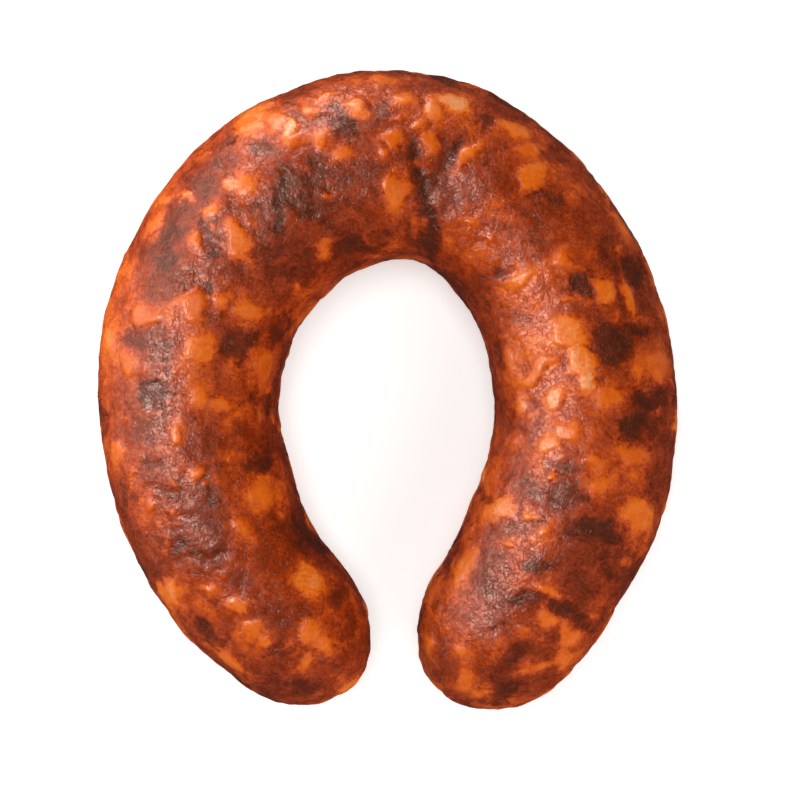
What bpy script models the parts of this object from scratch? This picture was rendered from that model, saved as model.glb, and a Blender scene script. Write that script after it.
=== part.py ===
"""A horseshoe-shaped cured sausage, one solid that lies on its flattened underside.

The scene is in metres with +Z up. The sizes below are millimetres, seen from above with the
open end of the horseshoe towards -Y. The origin is on the floor, under the middle of the ring.
"""

import math

import bmesh
import bpy
import numpy as np
from mathutils import Vector, noise

MM = 0.001

# The middle line from the left tip, over the bend, to the right tip: x, y and diameter.
STATIONS = (
    (-6.2, -56.0, 26.6),
    (-20.1, -43.4, 30.5),
    (-29.8, -31.6, 32.9),
    (-35.4, -18.1, 34.3),
    (-38.0, -3.5, 34.4),
    (-36.4, 11.0, 35.7),
    (-29.9, 25.0, 36.3),
    (-18.8, 36.4, 37.1),
    (-4.5, 42.2, 36.9),
    (9.5, 41.3, 35.6),
    (22.1, 33.7, 34.5),
    (31.2, 22.0, 34.4),
    (36.1, 8.0, 34.8),
    (37.4, -7.0, 35.0),
    (34.5, -21.5, 35.1),
    (28.3, -34.3, 33.8),
    (21.7, -44.5, 31.8),
    (9.4, -56.9, 28.4),
)
END_LENGTH = 17.0
END_BLUNTNESS = 2.1
HEIGHT_TO_WIDTH = 0.94
SINK = 0.6

# Uneven meat under the casing: size of the swellings and how far they stand out.
SWELL_SIZE = 13.0
SWELL_DEPTH = 0.45
LUMP_SIZE = 5.5
LUMP_DEPTH = 0.35
UNDERSIDE_SHARE = 0.4

# Pinches, where the casing is drawn in: x, y, height, reach and depth.
PINCHES = (
    (7.8, 25.5, 17.0, 6.0, 0.9),
    (-13.5, -27.5, 19.0, 8.0, 0.5),
)

RING_SPACING = 2.5
END_RINGS = 8
SIDES = 46
SAMPLES_PER_SPAN = 40

COLOUR = (0.362, 0.070, 0.022, 1.0)
ROUGHNESS = 0.42


def clear_scene():
    for obj in list(bpy.data.objects):
        bpy.data.objects.remove(obj, do_unlink=True)


def smooth_through(stations):
    """Rows of x, y and diameter along a Catmull-Rom curve through the stations."""
    knots = np.array(stations)
    knots = np.vstack([2 * knots[0] - knots[1], knots, 2 * knots[-1] - knots[-2]])
    step = np.linspace(0, 1, SAMPLES_PER_SPAN, endpoint=False)[:, None]
    spans = []
    for before, start, end, after in zip(knots, knots[1:], knots[2:], knots[3:]):
        slope = end - before
        bend = 2 * before - 5 * start + 4 * end - after
        twist = 3 * (start - end) + after - before
        spans.append(start + 0.5 * step * (slope + step * (bend + step * twist)))
    return np.vstack(spans + [knots[-2:-1]])


def lengths_along(line):
    steps = np.linalg.norm(np.diff(line[:, :2], axis=0), axis=1)
    return np.concatenate([[0.0], np.cumsum(steps)])


def ring_places(total):
    """Distances of the rings from the left tip, closer together on the round ends."""
    turn = np.linspace(0, math.pi / 2, END_RINGS + 1)[1:]
    end = END_LENGTH * (1 - np.cos(turn))
    count = round((total - 2 * END_LENGTH) / RING_SPACING)
    body = np.linspace(END_LENGTH, total - END_LENGTH, count + 1)[1:-1]
    return np.concatenate([end, body, (total - end)[::-1]])


def end_rounding(from_tip):
    """The share of the full radius: 1 along the body, falling to 0 at a tip."""
    short = max(1 - from_tip / END_LENGTH, 0.0)
    return (1 - short**END_BLUNTNESS) ** (1 / END_BLUNTNESS)


def relief(point):
    """How far the skin stands out at a point, with the swellings, lumps and pinches."""
    height = SWELL_DEPTH * noise.noise(point / SWELL_SIZE)
    height += LUMP_DEPTH * noise.noise(point / LUMP_SIZE)
    for x, y, z, reach, depth in PINCHES:
        away = (point - Vector((x, y, z))).length / reach
        height -= depth * math.exp(-2 * away * away)
    return height


def skin_point(centre, outward, radius, middle, turn):
    """A point of the skin, in a section square to the middle line and flattened underneath."""
    across, up = math.cos(turn), math.sin(turn)
    side = centre + outward * radius * across
    even = Vector((side[0], side[1], middle + HEIGHT_TO_WIDTH * radius * up))
    out = Vector((outward[0] * across, outward[1] * across, up))
    share = 1 + (1 - UNDERSIDE_SHARE) * min(up, 0.0)
    point = even + out * relief(even) * share
    point.z = max(point.z, 0.0)
    return point * MM


def sausage_rings():
    """The points of every ring, and the two tips."""
    line = smooth_through(STATIONS)
    along = lengths_along(line)
    total = along[-1]
    heading = np.gradient(line[:, :2], along, axis=0)
    turns = [2 * math.pi * side / SIDES for side in range(SIDES)]
    rings = []
    for place in ring_places(total):
        x, y, diameter = (np.interp(place, along, column) for column in line.T)
        ahead = Vector([np.interp(place, along, column) for column in heading.T]).normalized()
        outward = np.array((-ahead.y, ahead.x))
        radius = diameter / 2 * end_rounding(min(place, total - place))
        middle = HEIGHT_TO_WIDTH * diameter / 2 - SINK
        rings.append([skin_point(np.array((x, y)), outward, radius, middle, turn) for turn in turns])
    tips = [Vector((x, y, HEIGHT_TO_WIDTH * diameter / 2 - SINK)) * MM for x, y, diameter in line[[0, -1]]]
    return rings, tips


def sausage_mesh():
    points, tips = sausage_rings()
    bm = bmesh.new()
    rings = [[bm.verts.new(point) for point in ring] for ring in points]
    for ring, following in zip(rings, rings[1:]):
        for side in range(SIDES):
            other = (side + 1) % SIDES
            bm.faces.new((ring[side], ring[other], following[other], following[side]))
    for ring, place in zip((rings[0], rings[-1]), tips):
        tip = bm.verts.new(place)
        for side in range(SIDES):
            bm.faces.new((ring[side], ring[(side + 1) % SIDES], tip))
    bmesh.ops.recalc_face_normals(bm, faces=bm.faces)
    mesh = bpy.data.meshes.new("cured_sausage")
    bm.to_mesh(mesh)
    bm.free()
    mesh.shade_smooth()
    return mesh


def casing_material():
    material = bpy.data.materials.new("red_brown_casing")
    material.use_nodes = True
    shader = material.node_tree.nodes["Principled BSDF"]
    shader.inputs["Base Color"].default_value = COLOUR
    shader.inputs["Roughness"].default_value = ROUGHNESS
    shader.inputs["Metallic"].default_value = 0.0
    return material


def main():
    clear_scene()
    sausage = bpy.data.objects.new("cured_sausage", sausage_mesh())
    sausage.data.materials.append(casing_material())
    bpy.context.scene.collection.objects.link(sausage)


main()
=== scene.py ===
"""A cured sausage bent to a horseshoe: its marbled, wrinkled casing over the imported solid.

Lengths are millimetres until the mesh is made, and the scene is in metres with +Z up. The camera
looks straight down, with the open end of the horseshoe towards -Y at the bottom of the picture.
"""

import math
from collections import namedtuple

import bpy
import numpy as np
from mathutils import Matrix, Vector, kdtree, noise


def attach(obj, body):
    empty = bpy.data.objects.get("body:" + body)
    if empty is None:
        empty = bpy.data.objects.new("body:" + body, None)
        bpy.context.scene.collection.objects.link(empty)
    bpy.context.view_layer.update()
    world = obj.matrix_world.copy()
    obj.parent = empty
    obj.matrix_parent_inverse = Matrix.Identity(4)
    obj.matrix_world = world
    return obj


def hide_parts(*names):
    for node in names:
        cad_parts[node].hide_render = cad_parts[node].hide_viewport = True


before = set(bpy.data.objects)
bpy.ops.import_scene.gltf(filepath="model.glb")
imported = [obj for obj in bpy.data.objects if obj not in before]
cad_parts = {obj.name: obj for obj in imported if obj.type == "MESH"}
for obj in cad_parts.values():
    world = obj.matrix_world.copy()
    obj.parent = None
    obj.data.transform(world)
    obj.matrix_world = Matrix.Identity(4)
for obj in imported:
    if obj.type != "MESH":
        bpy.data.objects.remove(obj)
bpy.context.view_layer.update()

MM = 0.001
SEED = 20

# The middle line from the left tip, over the bend, to the right tip: x, y and diameter.
STATIONS = (
    (-6.2, -56.0, 26.6),
    (-20.1, -43.4, 30.5),
    (-29.8, -31.6, 32.9),
    (-35.4, -18.1, 34.3),
    (-38.0, -3.5, 34.4),
    (-36.4, 11.0, 35.7),
    (-29.9, 25.0, 36.3),
    (-18.8, 36.4, 37.1),
    (-4.5, 42.2, 36.9),
    (9.5, 41.3, 35.6),
    (22.1, 33.7, 34.5),
    (31.2, 22.0, 34.4),
    (36.1, 8.0, 34.8),
    (37.4, -7.0, 35.0),
    (34.5, -21.5, 35.1),
    (28.3, -34.3, 33.8),
    (21.7, -44.5, 31.8),
    (9.4, -56.9, 28.4),
)
SAMPLES_PER_SPAN = 40
END_LENGTH = 17.0
END_BLUNTNESS = 2.1
HEIGHT_TO_WIDTH = 0.94
SINK = 0.6

# Uneven meat under the casing: size of the swellings and how far they stand out.
SWELL_SIZE = 13.0
SWELL_DEPTH = 0.45
LUMP_SIZE = 5.5
LUMP_DEPTH = 0.2
UNDERSIDE_SHARE = 0.4

# Pinches, where the casing is drawn in: x, y, height, reach and depth.
PINCHES = (
    (7.8, 25.5, 17.0, 6.0, 0.9),
    (-13.5, -27.5, 19.0, 8.0, 0.5),
)

# Hollows, and swellings with a negative depth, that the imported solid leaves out.
HOLLOWS = (
    (8.6, 39.0, 34.0, 8.0, 1.1),
    (19.5, 39.5, 34.0, 8.0, -0.8),
    (22.0, -19.0, 30.0, 9.0, -0.4),
)

RING_SPACING = 0.56
END_RINGS = 44
SIDES = 198

# Pieces of fat under the casing, seen from above: x, y, length, width, angle and paleness.
FAT_ON_LEFT_ARM = (
    (-50.5, 22.5, 4, 2.5, 65, 0.6), (-36, 16, 6.5, 4.5, 80, 0.35), (-31, 16, 4, 2, 85, 0.6),
    (-26, 14.5, 5.5, 4.5, 0, 0.6), (-35.5, 7.5, 6.5, 4.5, 65, 0.6), (-45.5, 14, 6.5, 4, 10, 0.4),
    (-53, 10, 6, 3, 88, 0.8), (-49, 4.5, 4, 3, -50, 0.6), (-35, -1.5, 4.5, 4, -60, 0.6),
    (-31, -3, 4, 4, 0, 0.55), (-23, 4.5, 7, 3.5, 80, 0.25), (-51, -13, 4.5, 3.5, 60, 0.65),
    (-40, -9, 5.5, 3, 70, 0.5), (-36, -15.5, 3.5, 3, 90, 0.5), (-24, -19.5, 4.5, 4, 90, 0.6),
    (-45.5, -22, 3.5, 2.5, 70, 0.4), (-28, -25.5, 4, 2.5, -70, 0.5), (-41.5, -39.5, 6.5, 4.5, -70, 0.8),
    (-33.5, -37.5, 2.5, 2.5, 0, 0.65), (-28, -40, 4.5, 3.5, 0, 0.6), (-14.5, -36, 5.5, 5, -50, 0.8),
    (-23.5, -47.5, 3, 2.5, 80, 0.7), (-15, -45.5, 5, 4, 30, 0.6), (-12, -48, 5.5, 4, -20, 0.6),
    (-26, -46, 5, 3.5, 40, 0.5), (-30, -51.5, 8, 2.5, -40, 0.5), (-15.5, -51.5, 3.5, 2, 30, 0.55),
)
FAT_ON_BEND = (
    (-25.5, 51.5, 8, 5, 40, 0.8), (-21.5, 50.5, 5, 4, 80, 0.55), (-18, 49, 4, 3.5, 90, 1),
    (-17.5, 47, 4.5, 2.5, 10, 0.5), (-14.5, 53, 3.5, 3, 0, 0.6), (-12, 55, 2.5, 1.5, 0, 0.9),
    (-12.5, 47, 4, 3.5, 90, 0.55), (-7.5, 44, 3.5, 3, 0, 0.5), (-5, 53.5, 4, 3.5, 30, 0.85),
    (-1, 58.5, 5, 2, 0, 0.5), (3, 55, 5, 2.5, -15, 0.7), (8.5, 52.5, 4.5, 3.5, 100, 0.7),
    (6, 49.5, 4, 2, 30, 0.6), (0.5, 47, 4, 3.5, 70, 0.5), (7.5, 46, 5, 2, 90, 0.5),
    (1.5, 36.5, 8, 4.5, 85, 0.6), (-11.5, 26, 3, 2.5, 60, 0.5), (-26.5, 39, 5.5, 4, 80, 0.65),
    (-29.5, 38.5, 2.5, 2.5, 0, 1), (-38.5, 36, 2, 2, 0, 1), (-41.5, 36, 3.5, 2, 30, 0.8),
    (-44, 32, 5, 2, 50, 0.7), (-33.5, 33.5, 3, 2, -10, 0.8), (-28, 28, 8.5, 4, -60, 0.65),
    (-36.5, 27.5, 3.5, 3, 0, 0.65), (12.5, 54, 5.5, 4, 0, 0.9), (15, 44, 7, 2.5, 48, 0.7),
    (23.5, 49, 8, 3, -12, 0.65), (26.5, 45.5, 5.5, 4, -30, 0.5), (27.5, 40, 7, 4.5, 35, 0.65),
    (15, 31.5, 2.5, 2, 10, 0.6), (44.5, 30.5, 4.5, 1.5, -60, 0.5),
)
FAT_ON_RIGHT_ARM = (
    (33, 24, 4, 2.5, 0, 0.35), (24.5, 20.5, 7, 2.5, 35, 0.75), (33.5, 17, 4, 1.5, -10, 0.5),
    (40.5, 18.5, 4.5, 4, -30, 0.65), (45.5, 17, 7, 2.5, -65, 0.6), (34.2, 10.5, 8, 5.5, -50, 0.8),
    (36.5, 5.5, 7, 4.5, -80, 0.85), (37.4, 1.5, 5.5, 4, -60, 0.95), (26.5, 7, 2.5, 2, 80, 0.85),
    (27.5, 3, 10, 2.6, 42, 0.65), (24.5, -3, 4, 2.5, 50, 0.65), (30.5, -1.5, 5.5, 3.5, 60, 0.8),
    (41.5, -1.5, 5.5, 4, 20, 0.55), (33.5, -7.5, 6.5, 4, -10, 0.6), (30, -10, 4.5, 3, 60, 0.9),
    (38.5, -14, 4, 2.5, 10, 0.5), (30, -16.5, 3, 2.5, 30, 0.75), (40.5, -18.5, 4.5, 3, 10, 0.6),
    (46, -16.5, 3, 3, 0, 0.5), (46, -12.5, 6.5, 4.5, -20, 0.35), (47, 2.5, 4, 2, -80, 0.5),
    (50.5, 4.5, 6.5, 5.5, -60, 0.3), (23, 5, 7.5, 2, -80, 0.4), (19.5, -16, 5, 1.5, 65, 0.5),
    (47.5, -24, 8.5, 5.5, -62, 0.65), (20, -23, 6.5, 3.5, 35, 0.85), (26.5, -23.5, 3, 2, -20, 0.85),
    (22.5, -29, 3, 2, -10, 0.85), (29.5, -27, 3.5, 2, 35, 0.45), (14, -34, 8.5, 3, 65, 0.75),
    (30.5, -38, 5.5, 3, -15, 0.6), (29.5, -42.5, 6, 4, 0, 0.6), (34, -46.5, 5.5, 4, -60, 0.55),
    (28.5, -52, 5.5, 2.5, 25, 0.5), (33.5, -51.5, 4.5, 3.5, 60, 0.5), (14, -49.5, 3, 2.5, 70, 0.75),
    (7.5, -48.5, 5.5, 1.5, 90, 0.6), (14, -55.5, 4.5, 4, 60, 0.55), (17, -57.5, 4, 2.5, -20, 0.5),
)

# Dark lean meat, seen from above: x, y, length, width, angle and darkness.
LEAN_ON_LEFT_ARM = (
    (-45.5, 9.5, 9.5, 5, 0, 0.6), (-41.5, 5, 4, 2.5, 80, 0.9), (-44, -1, 6, 5.5, 0, 0.9),
    (-28, 7.5, 8.5, 5, 50, 0.8), (-20.5, 11, 7.5, 2.5, 60, 0.9), (-23.5, -2, 5.5, 3.5, 80, 0.7),
    (-24, -14, 5, 4, 30, 0.9), (-45, -14.5, 4.5, 2, 0, 0.6), (-40.5, -29, 5.5, 2.5, 0, 0.8),
    (-33.5, -19, 6, 2.5, -80, 0.6), (-34, -46, 5.5, 3.5, -35, 0.7), (-20.5, -23.5, 4.5, 3, -60, 0.8),
    # The first mark in the next row lies along a crease on the inner side: dark meat, and partly painted
    # shade in that fold.
    (-16, -27, 8, 2.5, -38, 0.9), (-21, -49.5, 5, 4, 0, 0.5), (-49.5, -20, 5.5, 2.5, 90, 0.5),
    (-9, -39, 3.5, 2.5, 0, 0.6), (-7, -46, 5.5, 2.5, 80, 0.6), (-17, -56.5, 7.5, 2.5, 0, 0.4),
    (-33.5, -40.5, 3, 2.5, 0, 0.8),
)
LEAN_ON_BEND = (
    (-15.5, 36, 11.5, 8, -20, 0.9), (-12.5, 42.5, 6.5, 4, 90, 0.7), (-8, 48.5, 5.5, 4, -60, 0.9),
    (-2, 52.5, 5, 4, -30, 0.4), (-5.5, 27, 12, 4, 12, 0.6), (-15, 22, 9, 4, 50, 0.6),
    # The three thin dark marks in the next row follow the first crease: dark meat, and partly painted
    # shade in that crease.
    (5.5, 42.5, 6.5, 2, 85, 0.8), (6.5, 36, 7.5, 2, 88, 0.7), (8, 28.5, 8.5, 3.5, 90, 1),
    (-4, 27.5, 7.5, 3, 0, 0.6), (-20, 35, 9.5, 3, 85, 0.8), (-33.5, 28.5, 8.5, 3.5, -75, 0.9),
    (-41.5, 29.5, 5.5, 4, 30, 0.7), (-42.5, 23.5, 4.5, 2.5, 50, 0.8), (-24, 45.5, 3.5, 2.5, 0, 0.8),
    (-30.5, 47.5, 3, 3, 0, 0.7), (-35, 19.5, 5.5, 2, -10, 0.8), (18, 50, 4.5, 2.5, -60, 0.8),
    (13, 45.5, 7, 1.5, 60, 0.8), (31.5, 44, 5, 3, -10, 0.7), (29.5, 36, 6.5, 2, 0, 0.7),
    (41.5, 26.5, 5, 4, 0, 0.6),
)
LEAN_ON_RIGHT_ARM = (
    (46, 22.5, 5.5, 4, -30, 0.8), (36, 20, 5, 4, 20, 0.9), (22, 21.5, 4, 2.5, 20, 0.8),
    (42, 8.5, 9.5, 7, -60, 0.7), (47, 11.5, 5, 2, -20, 0.9), (50.5, -2, 7.5, 4, 10, 0.95),
    (45.5, -7, 6, 5, 30, 0.9), (20.5, 6.5, 5.5, 2.5, 85, 0.8), (32.5, -15, 5.5, 4, 30, 0.8),
    (33.5, -20, 7, 5, 10, 0.65), (39, -26.5, 9.5, 4, -5, 1), (27.5, -33, 5, 2, -5, 0.9),
    (25, -39.5, 9.5, 3.5, -5, 0.9), (33, -41, 5, 2.5, 0, 0.9), (36.5, -44, 5, 2.5, -50, 0.7),
    (44.5, -33.5, 7, 6.5, 40, 0.8), (23, -49.5, 5, 4, 0, 0.7), (21, -58, 7, 3.5, 10, 0.8),
    (10.5, -34, 4.5, 2.5, 60, 0.7), (18.5, -20, 2.5, 3, 70, 0.8),
)

# Creases in the casing, seen from above: width, depth and the places they run through.
CREASES = (
    (1.1, 0.36, ((5.0, 48.0), (5.4, 43.0), (6.6, 38.5), (7.9, 33.5), (8.2, 23.5))),
    (0.8, 0.28, ((10.4, 49.0), (10.9, 44.5), (9.0, 38.5), (8.3, 34.5))),
    (0.8, 0.28, ((14.4, 48.5), (11.0, 42.0), (11.2, 39.0), (11.0, 34.0))),
    (0.5, 0.25, ((3.6, 37.0), (3.8, 31.0), (3.4, 26.0))),
    (0.5, 0.25, ((5.6, 34.0), (5.9, 29.0), (5.6, 24.5))),
    (0.5, 0.20, ((13.2, 41.0), (12.6, 36.0), (12.9, 32.0))),
    (1.0, 0.30, ((-19.5, -22.5), (-14.0, -26.0), (-9.5, -31.5))),
    (0.6, 0.20, ((-21.5, -25.0), (-17.0, -28.5), (-14.0, -31.5))),
)

# The upward parts of the normal between which a crease grows from nothing to its full depth.
CREASE_FADE = (-0.3, 0.1)

# Pieces of a random draw: how many, the shortest and the longest. The flecks are small pieces of fat
# all over, and the others lie where the photograph doesn't show the skin.
UNSEEN_FAT = (150, 3.0, 8.0)
UNSEEN_LEAN = (90, 4.0, 10.0)
FLECKS = (220, 1.2, 2.4)
FLECK_TONE = 0.5
WIDTHS_TO_LENGTH = (0.45, 0.9)
DRAWN_TONES = (0.3, 0.9)
MIDDLE_TONE = 0.5

# The upward part of the normal: below the first the photograph doesn't show the skin.
SEEN_FROM_ABOVE = 0.2
STRAIGHT_UP = 1.0

# A direction that the skin's normals rarely share, which gives every piece a level to turn from.
SLANT = (0.3, 0.2, 0.9)

# A piece's outline: how far outside it is still felt, how square its corners are, where 2 is an
# ellipse, and the least share of a piece's length that the view from above shows.
EDGE_REACH = 3.2
CORNER_POWER = 2.1
STEEPEST_VIEW = 0.5

# How far the outlines wander, in waves of what size, and the shifts that keep x, y and z apart.
WANDER_SIZE = 4.0
WANDER = 1.6
WANDER_SHIFTS = (0.0, 57.3, 131.9)

# Cells of chopped meat, each blended with its neighbours near its edges.
LUMP_CELL = 4.2
CELLS_BLENDED = 4
CELL_SOFTNESS = 0.2
CELL_POWER = 4

# Broad changes of colour, and painted light: the side that faces up and left in the picture is made paler,
# as if lit from there.
TINT_SIZE = 12.0
TINT = 0.20
PAINTED_LIGHT_SIDE = 0.11
PAINTED_LIGHT_FACING = (-0.85, 0.52, 0.0)
PAINTED_LIGHT_FADE = (0.35, 0.95)

# The depths inside a piece between which it rises or sinks, and how far it does.
FAT_EDGE = (-0.7, 1.4)
FAT_RISE = 0.12
LEAN_EDGE = (-0.8, 0.8)
LEAN_SINK = 0.12

# Wrinkles over all of it, and the share of them that the fat smooths away.
WRINKLE_SIZE = 3.4
WRINKLE_DEPTH = 0.16
PUCKER_SIZE = 1.7
PUCKER_DEPTH = 0.10
SMOOTHED_BY_FAT = 0.75

MAP_MARGIN = 0.004

# Colours from the darkest lean to the palest fat, each with its place on the scale of richness.
RICHNESS = (
    (0.00, (0.075, 0.014, 0.005)),
    (0.14, (0.115, 0.015, 0.003)),
    (0.28, (0.18, 0.019, 0.002)),
    (0.42, (0.29, 0.030, 0.002)),
    (0.54, (0.42, 0.049, 0.003)),
    (0.66, (0.58, 0.083, 0.003)),
    (0.84, (0.74, 0.148, 0.007)),
    (1.00, (0.76, 0.36, 0.17)),
)

# Noise in the casing: size, detail, roughness and distortion.
MOTTLE_NOISE = (2.6, 1.5, 0.5, 0.4)
FRAY_NOISE = (0.7, 3.0, 0.7, 0.0)
FOLD_NOISE = (1.6, 3.5, 0.70, 0.5)
CRACKLE_NOISE = (1.3, 2.0, 0.5, 0.6)
CRACKLE_WIDTH = 0.045

# Frayed edges: how far the noise moves them, and the depths between which they blur.
EDGE_BY_MOTTLE = 2.8
EDGE_BY_FRAY = 1.4
FAT_BLUR = (-0.7, 0.8)
LEAN_RAGGEDNESS = 1.3
LEAN_BLUR = (-1.0, 1.0)

# Richness of the meat, and what changes it.
MEAT_RICHNESS = 0.37
MEAT_BY_LUMP = 0.18
MEAT_BY_MOTTLE = 0.38
MEAT_BY_FRAY = 0.58
MEAT_BY_LEAN = 0.28

# Richness of the fat, and what changes it.
FAT_RICHNESS = 0.59
FAT_BY_TONE = 0.27
FAT_TONE_POWER = 2.0
FAT_BY_MOTTLE = 0.24
FAT_BY_FRAY = 0.32

# Richness gained near a piece of fat and in its middle: from and to what depth, and the gain at each.
GAIN_NEAR_FAT = (-3.2, 0.2, 0.0, 0.17)
GAIN_IN_FAT = (-0.3, 1.5, 0.0, 0.09)

# Painted shade: richness lost along the crackle's lines, and for each millimetre of a crease.
PAINTED_SHADE_IN_CRACKLE = 0.12
PAINTED_SHADE_IN_CREASE = 0.5

# Bump in millimetres, and how it calms over the fat: from and to what depth, and its share at each.
FOLD_HEIGHT = 0.26
MOTTLE_HEIGHT = 0.30
CRACKLE_DEPTH = 0.05
CALM_OVER_FAT = (-0.4, 1.0, 1.0, 0.4)
BUMP_STRENGTH = 1.0

# Roughness of the casing: from and to what value of the mottle, and the roughness at each.
GLOSS_BY_MOTTLE = (0.35, 0.65, 0.24, 0.32)
SPECULAR = 0.5

# The stage, in metres: each plane's size and place, its colour, the colour and strength of its glow
# and its roughness.
FLOOR_SIZE = 6.0
FLOOR_PLACE = (0.0, 0.0, -0.0002)
FLOOR_LOOK = ((0.84, 0.88, 0.87), (1.0, 1.0, 0.99), 0.43, 0.9)
CARD_SIZE = 1.0
CARD_PLACE = (-0.60, 0.28, -0.0001)
CARD_LOOK = ((0.0, 0.0, 0.0), (1.0, 0.93, 0.88), 0.22, 0.5)

# Soft lights, in metres: name, place, size and watts. Some give plain light and some only gloss.
PLAIN_LIGHTS = (
    ("key_left", (-0.52, 0.10, 0.13), 0.34, 2.4),
    ("back_left", (-0.20, 0.54, 0.15), 0.30, 1.8),
    ("overhead", (-0.08, 0.10, 1.10), 0.50, 6.3),
    ("fill_right", (0.42, -0.34, 0.40), 0.50, 2.4),
    ("fill_front", (0.00, -0.58, 0.16), 0.40, 0.7),
)
GLOSS_LIGHTS = (
    ("wide_gloss", (-0.50, 0.02, 0.22), 0.50, 1.45),
    ("corner_gloss", (-0.42, 0.40, 0.22), 0.45, 1.5),
    ("bright_gloss", (-0.28, -0.02, 0.42), 0.17, 1.9),
    ("near_gloss", (-0.055, -0.05, 0.30), 0.14, 0.10),
    ("back_gloss", (-0.18, 0.57, 0.14), 0.30, 2.8),
)
PLAIN_COLOUR = (1.0, 1.0, 1.0)
GLOSS_COLOUR = (1.0, 0.82, 0.70)
WORLD_STRENGTH = 0.03

CAMERA_PLACE = (0.0022, -0.0020, 0.9)
CAMERA_LENS = 209.0

Piece = namedtuple("Piece", "centre normal first second half_length half_width tone")


def smooth_through(stations):
    """Rows of x, y and diameter along a Catmull-Rom curve through the stations."""
    knots = np.array(stations)
    knots = np.vstack([2 * knots[0] - knots[1], knots, 2 * knots[-1] - knots[-2]])
    step = np.linspace(0, 1, SAMPLES_PER_SPAN, endpoint=False)[:, None]
    spans = []
    for before, start, end, after in zip(knots, knots[1:], knots[2:], knots[3:]):
        slope = end - before
        bend = 2 * before - 5 * start + 4 * end - after
        twist = 3 * (start - end) + after - before
        spans.append(start + 0.5 * step * (slope + step * (bend + step * twist)))
    return np.vstack(spans + [knots[-2:-1]])


def lengths_along(line):
    steps = np.linalg.norm(np.diff(line[:, :2], axis=0), axis=1)
    return np.concatenate([[0.0], np.cumsum(steps)])


def ring_places(total):
    """Distances of the rings from the left tip, closer together on the round ends."""
    turn = np.linspace(0, math.pi / 2, END_RINGS + 1)[1:]
    end = END_LENGTH * (1 - np.cos(turn))
    count = round((total - 2 * END_LENGTH) / RING_SPACING)
    body = np.linspace(END_LENGTH, total - END_LENGTH, count + 1)[1:-1]
    return np.concatenate([end, body, (total - end)[::-1]])


def end_rounding(from_tip):
    """The share of the full radius: 1 along the body, falling to 0 at a tip."""
    short = np.maximum(1 - from_tip / END_LENGTH, 0.0)
    return (1 - short**END_BLUNTNESS) ** (1 / END_BLUNTNESS)


def unit(vectors):
    return vectors / np.linalg.norm(vectors, axis=-1, keepdims=True)


def even_skin():
    """Points and normals of the skin before any relief: the rings in order, then both tips."""
    line = smooth_through(STATIONS)
    along = lengths_along(line)
    total = along[-1]
    places = ring_places(total)
    x, y, diameter = (np.interp(places, along, column) for column in line.T)
    heading = np.gradient(line[:, :2], along, axis=0)
    ahead = unit(np.stack([np.interp(places, along, column) for column in heading.T], axis=1))
    radius = diameter / 2 * end_rounding(np.minimum(places, total - places))
    turns = 2 * math.pi * np.arange(SIDES) / SIDES
    across, up = np.cos(turns), np.sin(turns)
    points = np.empty((len(places), SIDES, 3))
    points[..., 0] = x[:, None] - ahead[:, 1, None] * radius[:, None] * across
    points[..., 1] = y[:, None] + ahead[:, 0, None] * radius[:, None] * across
    middle = HEIGHT_TO_WIDTH * diameter / 2 - SINK
    points[..., 2] = middle[:, None] + HEIGHT_TO_WIDTH * radius[:, None] * up
    round_way = np.roll(points, -1, axis=1) - np.roll(points, 1, axis=1)
    normals = unit(np.cross(round_way, np.gradient(points, axis=0)))
    tips = np.array([(x, y, HEIGHT_TO_WIDTH * diameter / 2 - SINK) for x, y, diameter in line[[0, -1]]])
    tip_normals = np.array([(*-ahead[0], 0.0), (*ahead[-1], 0.0)])
    return np.vstack([points.reshape(-1, 3), tips]), np.vstack([normals.reshape(-1, 3), tip_normals])


def noise_at(points, size):
    """Smooth noise between about -1 and 1, with lumps of the given size."""
    return np.array([noise.noise(Vector(point)) for point in points / size])


def noise_vectors(points, size):
    """Three separate noises, each read at its own distance from the points."""
    return np.stack([noise_at(points + shift, size) for shift in WANDER_SHIFTS], axis=1)


def smooth_step(low, high, values):
    share = np.clip((values - low) / (high - low), 0, 1)
    return share * share * (3 - 2 * share)


def broad_relief(points):
    """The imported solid's swellings and pinches, with calmer lumps and a few hollows added."""
    height = SWELL_DEPTH * noise_at(points, SWELL_SIZE) + LUMP_DEPTH * noise_at(points, LUMP_SIZE)
    for x, y, z, reach, depth in PINCHES + HOLLOWS:
        away = np.linalg.norm(points - (x, y, z), axis=1) / reach
        height -= depth * np.exp(-2 * away * away)
    return height


def seen_pieces(rows, points, normals):
    """Pieces read from the photograph, each set on the skin straight below its place."""
    pieces = []
    top = np.nonzero(normals[:, 2] > 0)[0]
    for x, y, length, width, angle, tone in rows:
        at = top[np.argmin(np.linalg.norm(points[top, :2] - (x, y), axis=1))]
        turn = math.radians(angle)
        first = np.array((math.cos(turn), math.sin(turn), 0.0))
        second = np.array((-math.sin(turn), math.cos(turn), 0.0))
        pieces.append(Piece(points[at], normals[at], first, second, length / 2, width / 2, tone))
    return pieces


def mean_radius(piece):
    return (piece.half_length + piece.half_width) / 2


def clear_of(place, reach, pieces):
    """Whether a round piece of that reach would touch none of the pieces."""
    return all(np.linalg.norm(place - piece.centre) > reach + mean_radius(piece) for piece in pieces)


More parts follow.
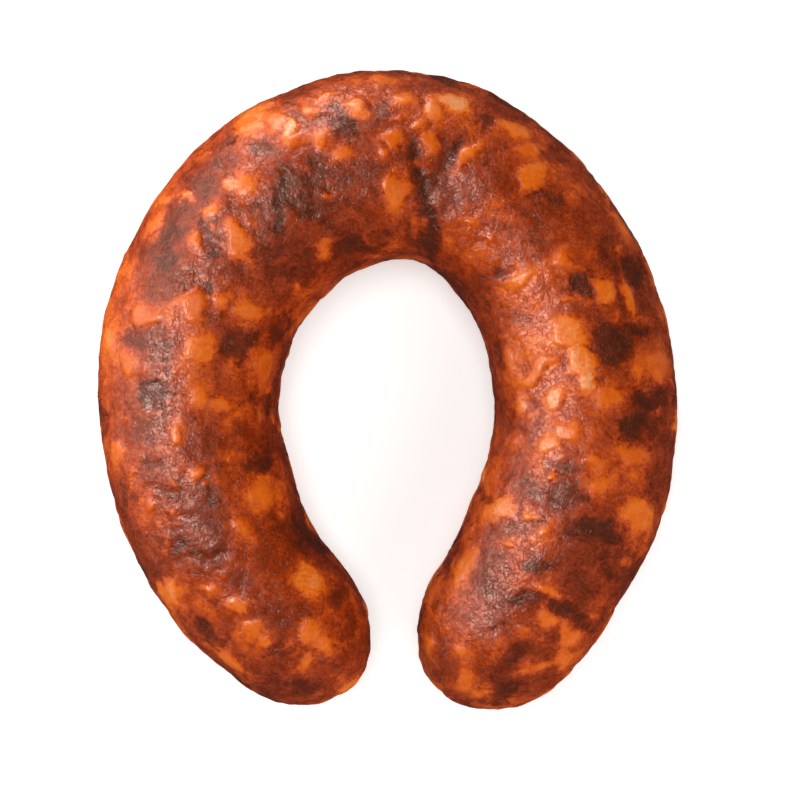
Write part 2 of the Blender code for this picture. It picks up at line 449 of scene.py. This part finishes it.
def scattered_pieces(amount, points, normals, others, random, highest):
    """Pieces of random size and direction, clear of each other and of the others."""
    count, shortest, longest = amount
    allowed = np.nonzero(normals[:, 2] < highest)[0]
    pieces = []
    while len(pieces) < count:
        at = random.choice(allowed)
        length = random.uniform(shortest, longest)
        width = length * random.uniform(*WIDTHS_TO_LENGTH)
        turn = random.uniform(0, math.pi)
        tone = random.uniform(*DRAWN_TONES)
        if not clear_of(points[at], (length + width) / 4, others + pieces):
            continue
        level = unit(np.cross(normals[at], SLANT))
        steep = np.cross(normals[at], level)
        first = math.cos(turn) * level + math.sin(turn) * steep
        second = math.cos(turn) * steep - math.sin(turn) * level
        pieces.append(Piece(points[at], normals[at], first, second, length / 2, width / 2, tone))
    return pieces


def all_pieces(points, normals, random):
    """The pieces of fat and of lean, first those of the photograph and then those of the draw."""
    fat = seen_pieces(FAT_ON_LEFT_ARM + FAT_ON_BEND + FAT_ON_RIGHT_ARM, points, normals)
    lean = seen_pieces(LEAN_ON_LEFT_ARM + LEAN_ON_BEND + LEAN_ON_RIGHT_ARM, points, normals)
    fat += scattered_pieces(UNSEEN_FAT, points, normals, fat, random, SEEN_FROM_ABOVE)
    lean += scattered_pieces(UNSEEN_LEAN, points, normals, fat + lean, random, SEEN_FROM_ABOVE)
    flecks = scattered_pieces(FLECKS, points, normals, fat, random, STRAIGHT_UP)
    fat += [fleck._replace(tone=FLECK_TONE * fleck.tone) for fleck in flecks]
    return fat, lean


def along_skin(direction, normal):
    """The direction laid on the skin, shorter where the view from above foreshortens it."""
    flat = direction - normal * np.dot(direction, normal)
    length = np.linalg.norm(flat)
    return flat / length * max(length, STEEPEST_VIEW)


def depth_inside(points, pieces):
    """For every point the depth inside the nearest piece, negative outside, and that piece's tone."""
    depth = np.full(len(points), -EDGE_REACH)
    tones = np.full(len(points), MIDDLE_TONE)
    for centre, normal, first, second, half_length, half_width, tone in pieces:
        away = points - centre
        reach = half_length / STEEPEST_VIEW + EDGE_REACH
        near = np.nonzero(np.einsum("ij,ij->i", away, away) < reach * reach)[0]
        lengthwise = np.abs(away[near] @ along_skin(first, normal)) / half_length
        crosswise = np.abs(away[near] @ along_skin(second, normal)) / half_width
        ratio = (lengthwise**CORNER_POWER + crosswise**CORNER_POWER) ** (1 / CORNER_POWER)
        inside = (1 - ratio) * math.sqrt(half_length * half_width)
        deeper = inside > depth[near]
        depth[near[deeper]] = inside[deeper]
        tones[near[deeper]] = tone
    return depth, tones


def cell_values(points, size, random):
    """Random values in cells of about the given size, blending a little into their neighbours."""
    seeds = points[:: round(size * size / (RING_SPACING * RING_SPACING))]
    seeds = seeds + random.uniform(-size / 3, size / 3, seeds.shape)
    values = random.uniform(0, 1, len(seeds))
    tree = kdtree.KDTree(len(seeds))
    for index, seed in enumerate(seeds):
        tree.insert(seed, index)
    tree.balance()
    blended = np.empty(len(points))
    for index, point in enumerate(points):
        found = tree.find_n(point, CELLS_BLENDED)
        weights = np.array([1 / (distance + CELL_SOFTNESS) ** CELL_POWER for _, _, distance in found])
        blended[index] = values[[near for _, near, _ in found]] @ weights / weights.sum()
    return blended


def distance_to_path(points, path):
    """Distances from the points, seen from above, to a path, and how far along it the nearest place is."""
    path = np.array(path)
    legs = np.linalg.norm(np.diff(path, axis=0), axis=1)
    covered = np.concatenate([[0.0], np.cumsum(legs)]) / legs.sum()
    nearest = np.full(len(points), np.inf)
    along = np.zeros(len(points))
    for start, end, before, after in zip(path, path[1:], covered, covered[1:]):
        run = end - start
        share = np.clip((points[:, :2] - start) @ run / (run @ run), 0, 1)
        away = np.linalg.norm(points[:, :2] - start - share[:, None] * run, axis=1)
        closer = away < nearest
        nearest[closer] = away[closer]
        along[closer] = before + (after - before) * share[closer]
    return nearest, along


def crease_depth(points, normals):
    """How far the creases draw the upper skin in, each fading towards its two ends."""
    depth = np.zeros(len(points))
    for width, deepest, path in CREASES:
        away, along = distance_to_path(points, path)
        fade = 1 - (2 * along - 1) ** 4
        depth += deepest * fade * np.exp(-((away / width) ** 2))
    return depth * smooth_step(*CREASE_FADE, normals[:, 2])


def folded(values):
    """Noise turned into round swellings with sharp valleys between them."""
    return 2 * np.abs(values) - 1


def skin():
    """Points of the finished skin, and the marks at each that its material colours it by."""
    even, normals = even_skin()
    random = np.random.default_rng(SEED)
    fat, lean = all_pieces(even, normals, random)
    wandered = even + WANDER * noise_vectors(even, WANDER_SIZE)
    fat_depth, fat_tone = depth_inside(wandered, fat)
    lean_depth, lean_tone = depth_inside(wandered, lean)
    creases = crease_depth(even, normals)

    over_fat = smooth_step(*FAT_EDGE, fat_depth)
    over_lean = smooth_step(*LEAN_EDGE, lean_depth) * (1 - over_fat)
    wrinkles = WRINKLE_DEPTH * folded(noise_at(wandered, WRINKLE_SIZE))
    puckers = PUCKER_DEPTH * folded(noise_at(wandered, PUCKER_SIZE))
    height = broad_relief(even) + FAT_RISE * over_fat - LEAN_SINK * over_lean
    height += (wrinkles + puckers) * (1 - SMOOTHED_BY_FAT * over_fat) - creases
    share = 1 + (1 - UNDERSIDE_SHARE) * np.minimum(normals[:, 2], 0)
    points = even + normals * (height * share)[:, None]
    points[:, 2] = np.maximum(points[:, 2], 0)

    # Painted light: the skin facing up and left is made paler, as if lit from that side.
    painted_light = PAINTED_LIGHT_SIDE * smooth_step(*PAINTED_LIGHT_FADE, normals @ np.array(PAINTED_LIGHT_FACING))
    marks = {
        "fat": fat_depth,
        "fat_tone": fat_tone,
        "lean": lean_depth,
        "lean_tone": lean_tone,
        "crease": creases,
        "lump": cell_values(wandered, LUMP_CELL, random),
        "tint_and_painted_light": TINT * noise_at(even, TINT_SIZE) + painted_light,
    }
    return points, marks


def skin_faces(rings):
    """Quads between the rings and a fan of triangles at each tip, all facing outwards."""
    faces = []
    for ring in range(rings - 1):
        for side in range(SIDES):
            other = (side + 1) % SIDES
            here, ahead = ring * SIDES, (ring + 1) * SIDES
            faces.append((here + side, ahead + side, ahead + other, here + other))
    tip = rings * SIDES
    last = (rings - 1) * SIDES
    for side in range(SIDES):
        other = (side + 1) % SIDES
        faces.append((side, other, tip))
        faces.append((last + other, last + side, tip + 1))
    return faces


def lay_out_map(mesh, rings):
    """A map for baking: the left half of the sausage in the lower strip, the right half in the upper."""
    strip = 0.5 - 2 * MAP_MARGIN
    half = (rings + 1) / 2
    layer = mesh.uv_layers.new(name="OFBake")
    spots = np.empty((len(mesh.loops), 2))
    loop = 0
    for face in mesh.polygons:
        corners = [mesh.loops[at].vertex_index for at in face.loop_indices]
        tip = max(corners) >= rings * SIDES
        rows = [at // SIDES + 1 for at in corners]
        sides = [at % SIDES for at in corners]
        if tip:
            body = sides[:2]
            rows[2] = 0 if corners[2] == rings * SIDES else rings + 1
            across_seam = max(body) - min(body) > 1
            sides[2] = SIDES - 0.5 if across_seam else (body[0] + body[1]) / 2
        if max(sides) - min(sides) > SIDES / 2:
            sides = [SIDES if side == 0 else side for side in sides]
        upper = min(rows) >= half
        for row, side in zip(rows, sides):
            run = (row - half if upper else row) / half
            rise = strip * side / SIDES + (0.5 if upper else 0)
            spots[loop] = (MAP_MARGIN + (1 - 2 * MAP_MARGIN) * run, MAP_MARGIN + rise)
            loop += 1
    layer.uv.foreach_set("vector", spots.ravel())


def sausage_mesh():
    points, marks = skin()
    rings = (len(points) - 2) // SIDES
    mesh = bpy.data.meshes.new("sausage_skin")
    mesh.from_pydata((points * MM).tolist(), [], skin_faces(rings))
    mesh.shade_smooth()
    for name, values in marks.items():
        mesh.attributes.new(name, "FLOAT", "POINT").data.foreach_set("value", values.astype(np.float32))
    lay_out_map(mesh, rings)
    return mesh


class Graph:
    """Short calls that add and join the shader nodes of one material."""

    def __init__(self, material):
        material.use_nodes = True
        self.tree = material.node_tree

    def feed(self, socket, value):
        if isinstance(value, bpy.types.NodeSocket):
            self.tree.links.new(value, socket)
        else:
            socket.default_value = value

    def node(self, kind, inputs, **settings):
        node = self.tree.nodes.new(kind)
        for name, value in settings.items():
            setattr(node, name, value)
        for name, value in inputs.items():
            self.feed(node.inputs[name], value)
        return node

    def combine(self, operation, first, second):
        return self.node("ShaderNodeMath", {0: first, 1: second}, operation=operation).outputs[0]

    def step(self, value, low, high, start=0.0, end=1.0):
        """The value carried smoothly from start to end as it passes from low to high."""
        inputs = {"Value": value, "From Min": low, "From Max": high, "To Min": start, "To Max": end}
        return self.node("ShaderNodeMapRange", inputs, interpolation_type="SMOOTHSTEP").outputs[0]

    def noise(self, place, size, detail, roughness, distortion):
        inputs = {"Vector": place, "Scale": 1 / size, "Detail": detail, "Roughness": roughness}
        inputs["Distortion"] = distortion
        return self.node("ShaderNodeTexNoise", inputs).outputs["Fac"]

    def valleys(self, swell, width):
        """1 along thin curling lines, where smooth noise passes its middle value, and 0 between them."""
        away = self.combine("ABSOLUTE", self.combine("SUBTRACT", swell, 0.5), 0.0)
        return self.step(away, 0.0, width, 1.0, 0.0)

    def blend(self, share, first, second):
        """The first value where the share is 0, and the second where it is 1."""
        return self.node("ShaderNodeMix", {0: share, 2: first, 3: second}, data_type="FLOAT").outputs[0]

    def attribute(self, name):
        return self.node("ShaderNodeAttribute", {}, attribute_name=name).outputs["Fac"]

    def ramp(self, value, stops):
        node = self.node("ShaderNodeValToRGB", {"Fac": value})
        elements = node.color_ramp.elements
        while len(elements) < len(stops):
            elements.new(1.0)
        for element, (position, colour) in zip(elements, stops):
            element.position = position
            element.color = (*colour, 1.0)
        return node.outputs["Color"]


def surface_place(graph):
    """The place on the object in millimetres."""
    where = graph.node("ShaderNodeTexCoord", {}).outputs["Object"]
    return graph.node("ShaderNodeVectorMath", {0: where, "Scale": 1 / MM}, operation="SCALE").outputs[0]


def centred(graph, value, amount):
    """Noise shifted to run evenly to both sides of zero, times an amount."""
    return graph.combine("MULTIPLY", graph.combine("SUBTRACT", value, 0.5), amount)


def fat_and_lean(graph, mottle, fray):
    """Shares of fat and of lean, with soft frayed edges."""
    edge = graph.combine("ADD", centred(graph, mottle, EDGE_BY_MOTTLE), centred(graph, fray, EDGE_BY_FRAY))
    fat = graph.step(graph.combine("ADD", graph.attribute("fat"), edge), *FAT_BLUR)
    ragged = graph.combine("MULTIPLY", edge, LEAN_RAGGEDNESS)
    lean = graph.step(graph.combine("SUBTRACT", graph.attribute("lean"), ragged), *LEAN_BLUR)
    return fat, graph.combine("MULTIPLY", lean, graph.attribute("lean_tone"))


def meat_richness(graph, lean, mottle, fray):
    """Red meat, uneven by cells and noise, with painted light on the side facing up and left, richer near
    the fat and darker where it is lean.
    """
    meat = graph.combine("ADD", graph.attribute("tint_and_painted_light"), MEAT_RICHNESS)
    meat = graph.combine("ADD", meat, centred(graph, graph.attribute("lump"), MEAT_BY_LUMP))
    meat = graph.combine("ADD", meat, centred(graph, mottle, MEAT_BY_MOTTLE))
    meat = graph.combine("ADD", meat, centred(graph, fray, MEAT_BY_FRAY))
    meat = graph.combine("ADD", meat, graph.step(graph.attribute("fat"), *GAIN_NEAR_FAT))
    return graph.combine("SUBTRACT", meat, graph.combine("MULTIPLY", lean, MEAT_BY_LEAN))


def fat_richness(graph, mottle, fray):
    """Fat by the tone of its piece, palest in the middle, with calmer noise than the meat."""
    pale = graph.combine("POWER", graph.attribute("fat_tone"), FAT_TONE_POWER)
    tone = graph.combine("ADD", graph.combine("MULTIPLY", pale, FAT_BY_TONE), FAT_RICHNESS)
    tone = graph.combine("ADD", tone, graph.step(graph.attribute("fat"), *GAIN_IN_FAT))
    calm = graph.combine("ADD", centred(graph, fray, FAT_BY_FRAY), centred(graph, mottle, FAT_BY_MOTTLE))
    return graph.combine("ADD", tone, calm)


def casing_colour(graph, fat, lean, mottle, fray, valleys):
    """One scale of richness from dark lean over red meat to pale fat, with painted shade along the crackle
    and in the creases, coloured by a ramp.
    """
    meat = meat_richness(graph, lean, mottle, fray)
    richness = graph.blend(fat, meat, fat_richness(graph, mottle, fray))
    # Painted shade: darker along the crackle's lines and deeper in the creases.
    crackle_shade = graph.combine("MULTIPLY", valleys, PAINTED_SHADE_IN_CRACKLE)
    crease_shade = graph.combine("MULTIPLY", graph.attribute("crease"), PAINTED_SHADE_IN_CREASE)
    richness = graph.combine("SUBTRACT", graph.combine("SUBTRACT", richness, crackle_shade), crease_shade)
    return graph.ramp(richness, RICHNESS)


def casing_height(graph, place, mottle):
    """Lines of the crackle, which the colour darkens as painted shade, and with the fine wrinkles its
    height in millimetres, calmer over the fat.
    """
    valleys = graph.valleys(graph.noise(place, *CRACKLE_NOISE), CRACKLE_WIDTH)
    folds = graph.combine("MULTIPLY", graph.noise(place, *FOLD_NOISE), FOLD_HEIGHT)
    height = graph.combine("SUBTRACT", folds, graph.combine("MULTIPLY", valleys, CRACKLE_DEPTH))
    height = graph.combine("ADD", height, graph.combine("MULTIPLY", mottle, MOTTLE_HEIGHT))
    calm = graph.step(graph.attribute("fat"), *CALM_OVER_FAT)
    return graph.combine("MULTIPLY", valleys, calm), graph.combine("MULTIPLY", height, calm)


def casing_material():
    material = bpy.data.materials.new("cured_casing")
    graph = Graph(material)
    shader = graph.tree.nodes["Principled BSDF"]
    place = surface_place(graph)
    mottle = graph.noise(place, *MOTTLE_NOISE)
    fray = graph.noise(place, *FRAY_NOISE)
    valleys, height = casing_height(graph, place, mottle)
    fat, lean = fat_and_lean(graph, mottle, fray)
    bump = graph.node("ShaderNodeBump", {"Strength": BUMP_STRENGTH, "Distance": MM, "Height": height})
    graph.feed(shader.inputs["Base Color"], casing_colour(graph, fat, lean, mottle, fray, valleys))
    graph.feed(shader.inputs["Roughness"], graph.step(mottle, *GLOSS_BY_MOTTLE))
    graph.feed(shader.inputs["Normal"], bump.outputs["Normal"])
    shader.inputs["Specular IOR Level"].default_value = SPECULAR
    return material


def add_sausage():
    sausage = bpy.data.objects.new("sausage_skin", sausage_mesh())
    sausage.data.materials.append(casing_material())
    bpy.context.scene.collection.objects.link(sausage)
    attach(sausage, "root")
    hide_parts("cured_sausage")


def add_plane(name, size, place, look):
    """A flat square whose material is one colour with a glow of its own."""
    colour, glow, strength, roughness = look
    bpy.ops.mesh.primitive_plane_add(size=size, location=place)
    plane = bpy.context.object
    plane.name = name
    material = bpy.data.materials.new(name)
    shader = Graph(material).tree.nodes["Principled BSDF"]
    shader.inputs["Base Color"].default_value = (*colour, 1.0)
    shader.inputs["Emission Color"].default_value = (*glow, 1.0)
    shader.inputs["Emission Strength"].default_value = strength
    shader.inputs["Roughness"].default_value = roughness
    shader.inputs["Specular IOR Level"].default_value = 0.0
    plane.data.materials.append(material)
    return plane


def add_floor():
    """The pale floor, which the gloss of the sausage doesn't mirror."""
    floor = add_plane("pale_floor", FLOOR_SIZE, FLOOR_PLACE, FLOOR_LOOK)
    floor.visible_glossy = False


def add_pale_card():
    """A faint card on the floor at the left, which only the gloss of the left edges mirrors."""
    card = add_plane("pale_card", CARD_SIZE, CARD_PLACE, CARD_LOOK)
    card.visible_camera = False
    card.visible_diffuse = False
    card.visible_shadow = False


def add_light(name, place, size, watts, gloss):
    """A square soft light aimed at the middle, which gives either gloss or plain light."""
    light = bpy.data.lights.new(name, "AREA")
    light.size = size
    light.energy = watts
    light.color = GLOSS_COLOUR if gloss else PLAIN_COLOUR
    lamp = bpy.data.objects.new(name, light)
    lamp.location = place
    lamp.rotation_euler = (-Vector(place)).to_track_quat("-Z", "Y").to_euler()
    lamp.visible_camera = False
    lamp.visible_glossy = gloss
    lamp.visible_diffuse = not gloss
    bpy.context.scene.collection.objects.link(lamp)


def add_lights():
    for light in PLAIN_LIGHTS:
        add_light(*light, gloss=False)
    for light in GLOSS_LIGHTS:
        add_light(*light, gloss=True)


def add_world():
    world = bpy.data.worlds.new("studio")
    world.use_nodes = True
    background = world.node_tree.nodes["Background"]
    background.inputs["Color"].default_value = (*PLAIN_COLOUR, 1.0)
    background.inputs["Strength"].default_value = WORLD_STRENGTH
    bpy.context.scene.world = world


def add_camera():
    camera = bpy.data.objects.new("camera", bpy.data.cameras.new("camera"))
    camera.location = CAMERA_PLACE
    camera.data.lens = CAMERA_LENS
    bpy.context.scene.collection.objects.link(camera)
    bpy.context.scene.camera = camera


bpy.context.scene.view_settings.view_transform = "Standard"
add_camera()
add_sausage()
add_floor()
add_pale_card()
add_lights()
add_world()
